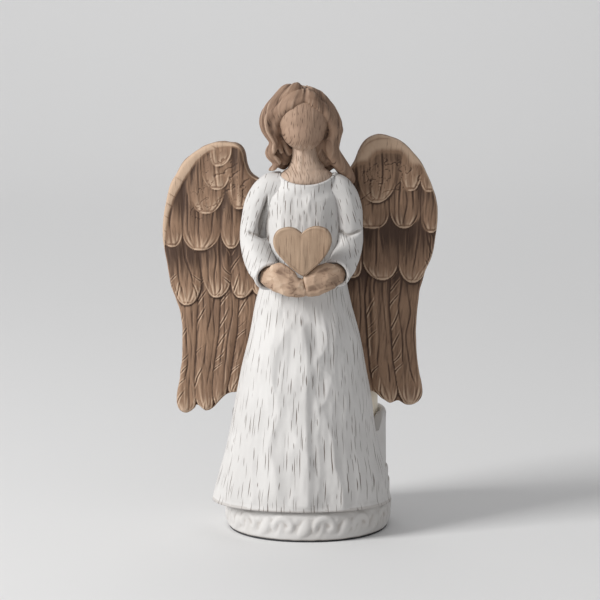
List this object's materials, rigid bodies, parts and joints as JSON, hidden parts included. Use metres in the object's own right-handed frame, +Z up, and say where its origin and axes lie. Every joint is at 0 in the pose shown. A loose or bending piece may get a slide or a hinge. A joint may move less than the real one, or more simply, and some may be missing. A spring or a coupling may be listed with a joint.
{
  "type": "resin angel figurine",
  "caption": "Winged figurine in a long dress holding a heart, on an oval base with a cup for a battery candle behind the skirt.",
  "frame": {"origin": "middle of the underside of the felt pad under the oval base", "axes": "+Z up along the figure, the figure faces -Y, +X is the figure's left side"},
  "size_m": [0.1109, 0.087, 0.1809],
  "materials": {
    "felt": "black felt, matt",
    "cream_paint": "matt off-white paint on cast resin",
    "dress_cream": "matt off-white paint on cast resin with fine brown crackle marks",
    "skin_tan": "tan paint on cast resin with fine upright grain",
    "heart_tan": "light tan paint on cast resin with fine grain",
    "hair_brown": "brown paint on cast resin",
    "carved_wood_brown": "brown paint with dark wash in the carved grooves",
    "dowel_steel": "plain steel pin",
    "candle_ivory": "ivory wax-look plastic",
    "chassis_black": "black moulded plastic",
    "flame_amber": "translucent amber plastic",
    "lamp_yellow": "yellow lamp epoxy",
    "board_green": "green circuit board",
    "battery_steel": "plated steel"
  },
  "bodies": {
    "figurine": {"felt_pad": "felt", "base_plinth": "cream_paint", "candle_cup": "cream_paint", "dress": "dress_cream", "head": "skin_tan", "hair": "hair_brown", "right_sleeve": "dress_cream", "left_sleeve": "dress_cream", "right_hand": "skin_tan", "left_hand": "skin_tan", "heart": "heart_tan", "right_wing": "carved_wood_brown", "left_wing": "carved_wood_brown", "right_wing_dowel_upper": "dowel_steel", "right_wing_dowel_lower": "dowel_steel", "left_wing_dowel_upper": "dowel_steel", "left_wing_dowel_lower": "dowel_steel"},
    "candle": {"candle_shell": "candle_ivory", "candle_chassis": "chassis_black", "flame_tip": "flame_amber", "led_lamp": "lamp_yellow", "circuit_board": "board_green", "coin_battery": "battery_steel", "battery_contact_top": "battery_steel", "battery_contact_side": "battery_steel", "chassis_screw_left": "battery_steel", "chassis_screw_right": "battery_steel"},
    "door": {"battery_door": "chassis_black"},
    "switch": {"switch_slider": "chassis_black"}
  },
  "joints": [
    {"name": "candle_lift", "type": "slide", "parent": "figurine", "child": "candle", "axis": [0, 0, 1], "range_m": [0, 0.013]},
    {"name": "battery_door_twist", "type": "hinge", "parent": "candle", "child": "door", "pos_m": [0, 0.0073, 0.036], "axis": [0, 0, 1], "range_deg": [0, 50]},
    {"name": "switch_slide", "type": "slide", "parent": "candle", "child": "switch", "axis": [1, 0, 0], "range_m": [0, 0.003]}
  ]
}
